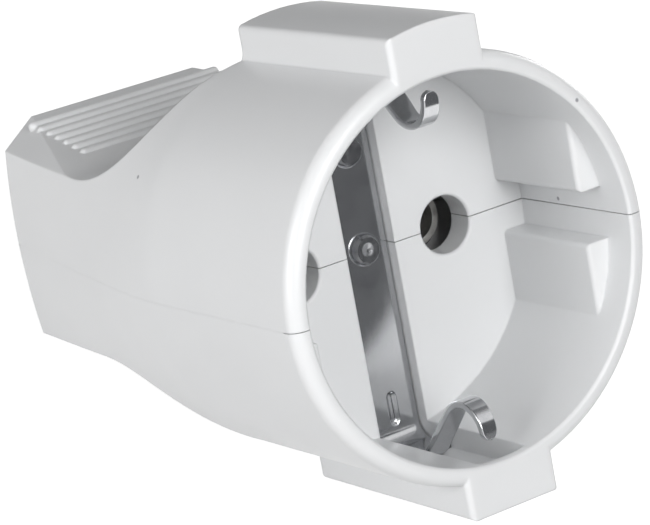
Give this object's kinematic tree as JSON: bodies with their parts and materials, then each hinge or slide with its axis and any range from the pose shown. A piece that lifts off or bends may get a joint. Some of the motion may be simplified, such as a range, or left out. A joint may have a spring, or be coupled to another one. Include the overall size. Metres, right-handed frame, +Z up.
{
  "type": "inline socket connector",
  "caption": "Inline earthed socket for a flexible cord, with a deep round face, hooked earth strap, grip pads and ribbed finger scoops in a moulded housing.",
  "frame": {"origin": "centre of the bounding box at its base, where the connector lies on a table", "axes": "+Y from the socket's mouth back to the cord end, +X to the right when looking into +Y, +Z up; the connector's own axis drops towards the cord end by about 16 degrees, because it lies on the back edge of its lower pad and the lower edge of its cord end"},
  "size_m": [0.043, 0.0734, 0.0548],
  "materials": {
    "housing": "glossy moulded thermoplastic",
    "clamp_plastic": "moulded, matt",
    "strap_steel": "bright rolled strip",
    "rivet_steel": "bright, headed",
    "spring_steel": "spring temper",
    "screw_steel": "zinc plated",
    "contact_brass": "bright stamped"
  },
  "bodies": {
    "root": {"upper_shell": "housing", "lower_shell": "housing", "earth_strap": "strap_steel", "center_rivet": "rivet_steel", "upper_rivet": "rivet_steel", "earth_terminal": "contact_brass", "earth_terminal_screw": "screw_steel", "earth_terminal_washer": "screw_steel", "cord_clamp_bar": "clamp_plastic", "left_contact": "contact_brass", "left_contact_spring": "spring_steel", "left_terminal_screw": "screw_steel", "left_terminal_washer": "screw_steel", "left_clamp_screw": "screw_steel", "left_case_screw": "screw_steel", "right_contact": "contact_brass", "right_contact_spring": "spring_steel", "right_terminal_screw": "screw_steel", "right_terminal_washer": "screw_steel", "right_clamp_screw": "screw_steel", "right_case_screw": "screw_steel"}
  },
  "joints": []
}
